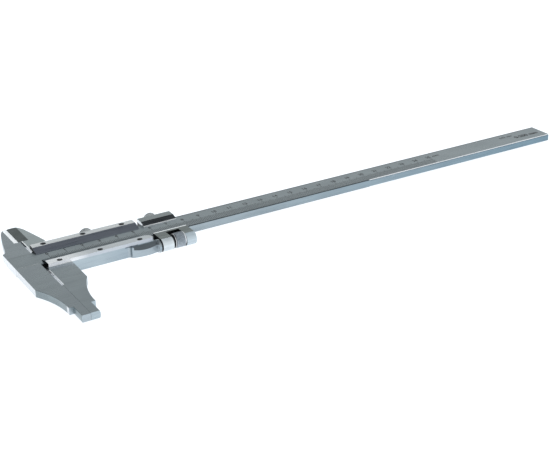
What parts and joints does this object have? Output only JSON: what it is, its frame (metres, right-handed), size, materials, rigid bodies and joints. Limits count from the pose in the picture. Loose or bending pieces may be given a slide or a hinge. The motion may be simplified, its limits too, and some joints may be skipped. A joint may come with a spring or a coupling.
{
  "type": "vernier caliper",
  "caption": "Workshop vernier caliper with a millimetre beam, nibbed lower jaws, knife-edge upper jaws, a screwed-on vernier and a nut-driven fine-adjustment carriage with knurled lock screws.",
  "frame": {"origin": "X = 0 in the plane where the measuring faces meet, Y = 0 on the beam's centre line, Z = 0 in the plane of the slider's back, on which the caliper lies", "axes": "+X along the beam to its plain end, +Y to the knife-edge jaws, +Z out of the graduated face"},
  "size_m": [0.3589, 0.1238, 0.0084],
  "materials": {
    "beam_steel": "satin, brushed along the beam",
    "jaw_steel": "satin ground",
    "slider_steel": "satin ground",
    "strip_steel": "fine satin",
    "knurled_steel": "bright turned, diamond knurl",
    "spindle_steel": "turned",
    "blackened_steel": "blackened",
    "spring_bronze": "rolled spring strip"
  },
  "bodies": {
    "frame": {"beam": "beam_steel", "fixed_jaw_lower": "jaw_steel", "fixed_jaw_upper": "jaw_steel"},
    "slider": {"slider_body": "slider_steel", "upper_guide_strip": "strip_steel", "vernier_strip": "strip_steel", "upper_strip_screws": "blackened_steel", "lower_strip_screws": "blackened_steel", "thumb_rest": "slider_steel", "slider_gib_spring": "spring_bronze", "fine_spindle": "spindle_steel", "spindle_pin": "spindle_steel"},
    "carriage": {"carriage_body": "slider_steel", "carriage_guide_strip": "strip_steel", "carriage_strip_screws": "blackened_steel", "carriage_gib_spring": "spring_bronze"},
    "nut": {"adjusting_nut": "knurled_steel"},
    "slider_lock": {"slider_lock_screw": "knurled_steel"},
    "carriage_lock": {"carriage_lock_screw": "knurled_steel"}
  },
  "joints": [
    {"name": "slider_slide", "type": "slide", "parent": "frame", "child": "slider", "axis": [1, 0, 0], "range_m": [0, 0.25]},
    {"name": "fine_feed", "type": "slide", "parent": "slider", "child": "carriage", "axis": [1, 0, 0], "range_m": [-0.0009, 0.003]},
    {"name": "nut_turn", "type": "hinge", "parent": "carriage", "child": "nut", "pos_m": [0.0754, -0.01715, 0.00425], "axis": [1, 0, 0], "range_deg": [-650, 2162]},
    {"name": "slider_lock_turn", "type": "hinge", "parent": "slider", "child": "slider_lock", "pos_m": [0.03476, 0.0168, 0.0043], "axis": [0, -1, 0], "range_deg": [-360, 90]},
    {"name": "carriage_lock_turn", "type": "hinge", "parent": "carriage", "child": "carriage_lock", "pos_m": [0.0732, 0.0158, 0.0043], "axis": [0, -1, 0], "range_deg": [-360, 90]}
  ],
  "couplings": [
    {"joint": "nut_turn", "follows": "fine_feed", "rad_per_m": 12566}
  ]
}
